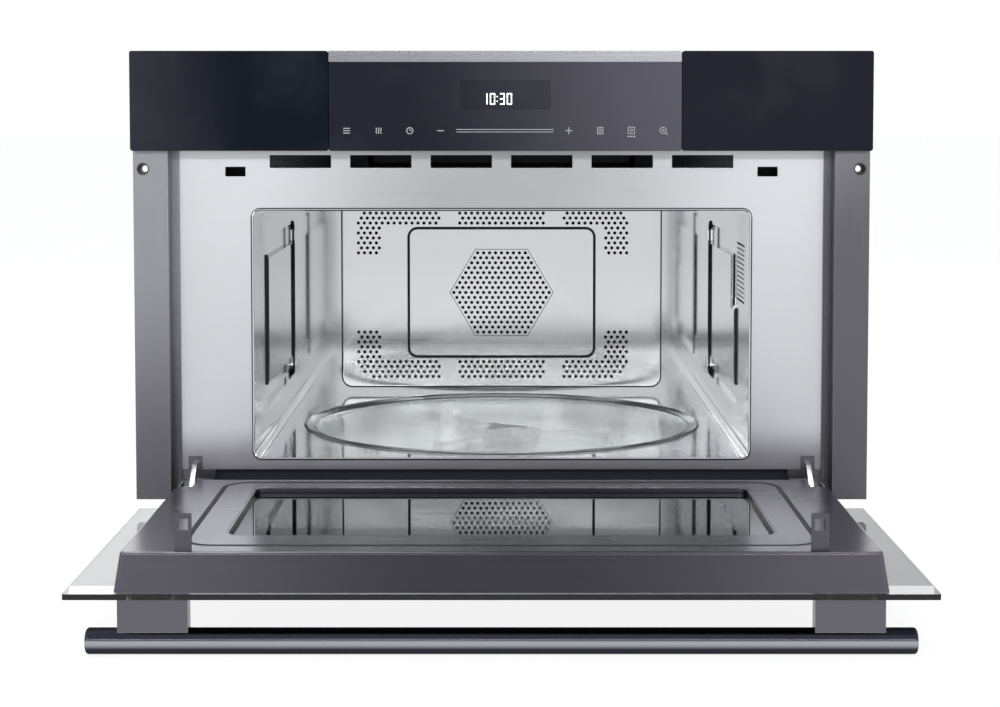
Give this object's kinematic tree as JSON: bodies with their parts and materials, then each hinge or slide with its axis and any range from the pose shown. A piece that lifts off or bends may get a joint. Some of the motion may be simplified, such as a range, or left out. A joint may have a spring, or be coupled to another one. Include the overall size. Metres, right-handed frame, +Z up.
{
  "type": "built-in microwave oven",
  "caption": "Built-in combination microwave oven with a drop-down glass door standing open, polished cavity, glass turntable on rollers, hot-air fan, ceiling grill and touch control panel.",
  "frame": {"origin": "on the case's flat underside, midway between the front plate and the rear panel", "axes": "+X to the right, +Y to the back, +Z up; the front faces -Y"},
  "size_m": [0.595, 0.8061, 0.4202],
  "materials": {
    "brushed_plate": "light brushed stainless steel",
    "polished_cavity": "mirror-polished stainless steel",
    "tinted_steel": "dark tinted brushed steel",
    "strip_steel": "fine brushed",
    "plain_steel": "plain rolled steel",
    "galvanised": "galvanised sheet",
    "black_glass": "gloss, opaque",
    "panel_glass": "gloss, opaque",
    "display_glass": "gloss, tinted",
    "door_glass": "clear at the sides, darkened behind the pan",
    "window_glass": "mirror tinted",
    "turntable_glass": "clear",
    "black_plastic": "matt",
    "pale_plastic": "matt",
    "board": "circuit board",
    "mica": "sheet",
    "heater": "oxidised tube",
    "fan_metal": "stamped",
    "ferrite": "matt core",
    "seal": "matt",
    "pad": "fibre mat",
    "lamp": "clear bulb in a metal box"
  },
  "bodies": {
    "case": {"front_plate": "brushed_plate", "side_trims": "tinted_steel", "base_pan": "galvanised", "top_cover": "galvanised", "side_panels": "galvanised", "rear_panel": "galvanised", "cavity_floor": "polished_cavity", "cavity_ceiling": "polished_cavity", "cavity_wall_left": "polished_cavity", "cavity_wall_right": "polished_cavity", "cavity_back": "polished_cavity", "fan_baffle": "polished_cavity", "port_cover": "mica", "grill_element": "heater", "grill_shield": "polished_cavity", "convection_housing": "galvanised", "ring_heater": "heater", "convection_motor": "plain_steel", "fascia_carrier": "black_plastic", "fascia_centre": "panel_glass", "fascia_side_glass": "black_glass", "fascia_strip": "strip_steel", "display_lens": "display_glass", "control_board": "board", "magnetron": "fan_metal", "waveguide": "galvanised", "power_board": "board", "inverter_transformer": "ferrite", "exhaust_duct": "black_plastic", "blower_housing": "black_plastic", "blower_motor": "plain_steel", "interlock_brackets": "black_plastic", "interlock_switches": "pale_plastic", "cavity_lamp": "lamp", "insulation_pads": "pad", "mains_gland": "black_plastic", "hinge_arms": "plain_steel", "hinge_brackets": "plain_steel", "turntable_motor": "plain_steel"},
    "door": {"door_glass_outer": "door_glass", "door_pan": "tinted_steel", "window_bezel": "black_plastic", "door_glass_inner": "window_glass", "door_screen": "plain_steel", "door_seal": "seal", "latch_hooks": "plain_steel", "hinge_channels": "plain_steel", "hinge_pins": "plain_steel", "handle_bar": "tinted_steel", "handle_posts": "tinted_steel", "handle_screws": "plain_steel"},
    "turntable": {"turntable_plate": "turntable_glass", "turntable_coupler": "pale_plastic"},
    "roller_support": {"roller_support": "pale_plastic"},
    "roller_1": {"roller_1": "pale_plastic"},
    "roller_2": {"roller_2": "pale_plastic"},
    "roller_3": {"roller_3": "pale_plastic"},
    "convection_fan": {"convection_fan": "fan_metal"},
    "blower_wheel": {"blower_wheel": "black_plastic"}
  },
  "joints": [
    {"name": "door_hinge", "type": "hinge", "parent": "case", "child": "door", "pos_m": [0, -0.2705, 0.0174], "axis": [-1, 0, 0], "range_deg": [0, 90]},
    {"name": "turntable_spin", "type": "hinge", "parent": "case", "child": "turntable", "pos_m": [0, -0.049, 0.032], "axis": [0, 0, 1], "continuous": true},
    {"name": "support_spin", "type": "hinge", "parent": "case", "child": "roller_support", "pos_m": [0, -0.049, 0.038], "axis": [0, 0, 1], "continuous": true},
    {"name": "roller_1_spin", "type": "hinge", "parent": "roller_support", "child": "roller_1", "pos_m": [0.09464, -0.05728, 0.038], "axis": [0.9962, -0.0872, 0], "continuous": true},
    {"name": "roller_2_spin", "type": "hinge", "parent": "roller_support", "child": "roller_2", "pos_m": [-0.04015, 0.0371, 0.038], "axis": [-0.4226, 0.9063, 0], "continuous": true},
    {"name": "roller_3_spin", "type": "hinge", "parent": "roller_support", "child": "roller_3", "pos_m": [-0.05449, -0.12682, 0.038], "axis": [-0.5736, -0.8192, 0], "continuous": true},
    {"name": "convection_fan_spin", "type": "hinge", "parent": "case", "child": "convection_fan", "pos_m": [0, 0.1876, 0.1519], "axis": [0, 1, 0], "continuous": true},
    {"name": "blower_spin", "type": "hinge", "parent": "case", "child": "blower_wheel", "pos_m": [0, -0.172, 0.3108], "axis": [1, 0, 0], "continuous": true}
  ],
  "couplings": [
    {"joint": "support_spin", "follows": "turntable_spin", "ratio": 0.5},
    {"joint": "roller_1_spin", "follows": "turntable_spin", "ratio": -7.9167},
    {"joint": "roller_2_spin", "follows": "turntable_spin", "ratio": -7.9167},
    {"joint": "roller_3_spin", "follows": "turntable_spin", "ratio": -7.9167}
  ]
}
